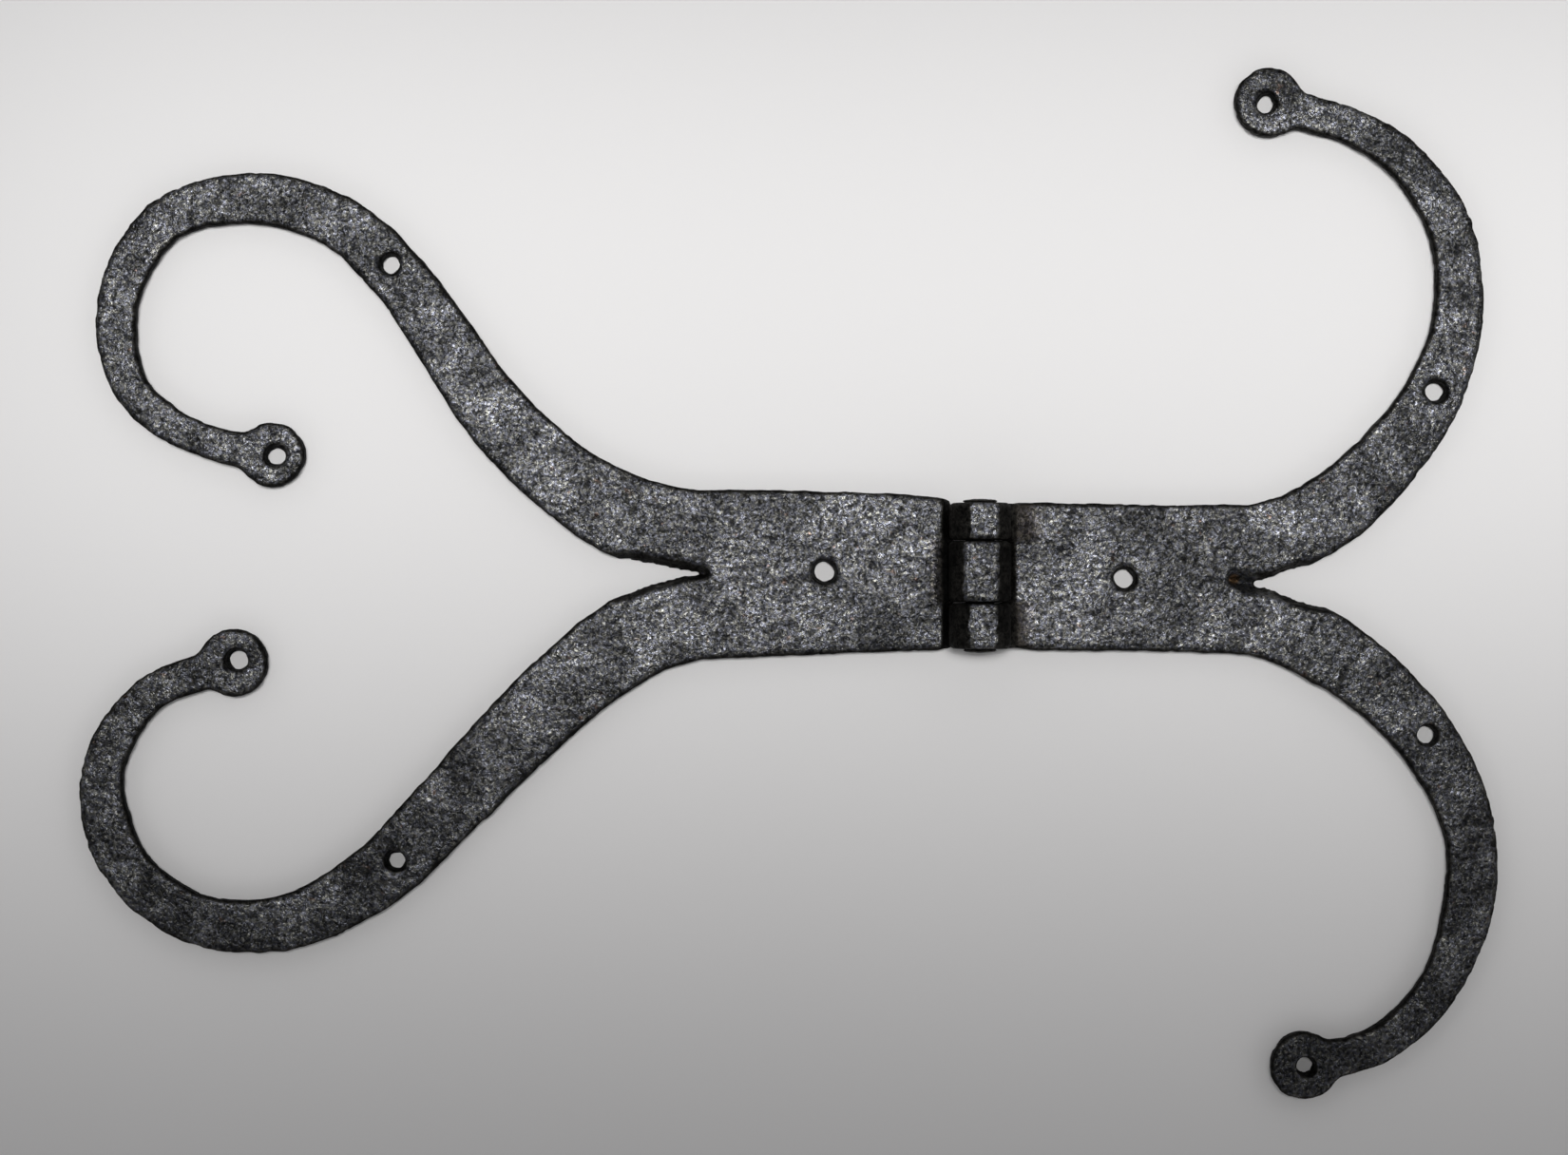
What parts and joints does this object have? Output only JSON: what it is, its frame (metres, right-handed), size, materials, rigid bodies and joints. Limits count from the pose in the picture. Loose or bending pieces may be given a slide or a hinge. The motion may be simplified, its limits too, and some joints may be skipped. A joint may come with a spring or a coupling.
{
  "type": "door hinge",
  "caption": "Hand-forged ram's-horn door hinge: flat strap leaves split into curling horns with round nail eyes, turning on a peened pin.",
  "frame": {"origin": "on the hinge line, in the plane of the leaves' backs and level with the middle knuckle", "axes": "+Z out of the front faces, +X from the hinge line towards the jamb leaf, +Y along the pin"},
  "size_m": [0.3737, 0.2718, 0.0153],
  "materials": {
    "forged_iron": "hammered and pitted dark wrought iron, satin where rubbed",
    "pin_iron": "dark forged iron, peened ends"
  },
  "bodies": {
    "jamb": {"jamb_leaf": "forged_iron", "pin": "pin_iron"},
    "door": {"door_leaf": "forged_iron"}
  },
  "joints": [
    {"name": "hinge_pin", "type": "hinge", "parent": "jamb", "child": "door", "pos_m": [0, 0, 0.0078], "axis": [0, 1, 0], "range_deg": [0, 180]}
  ]
}
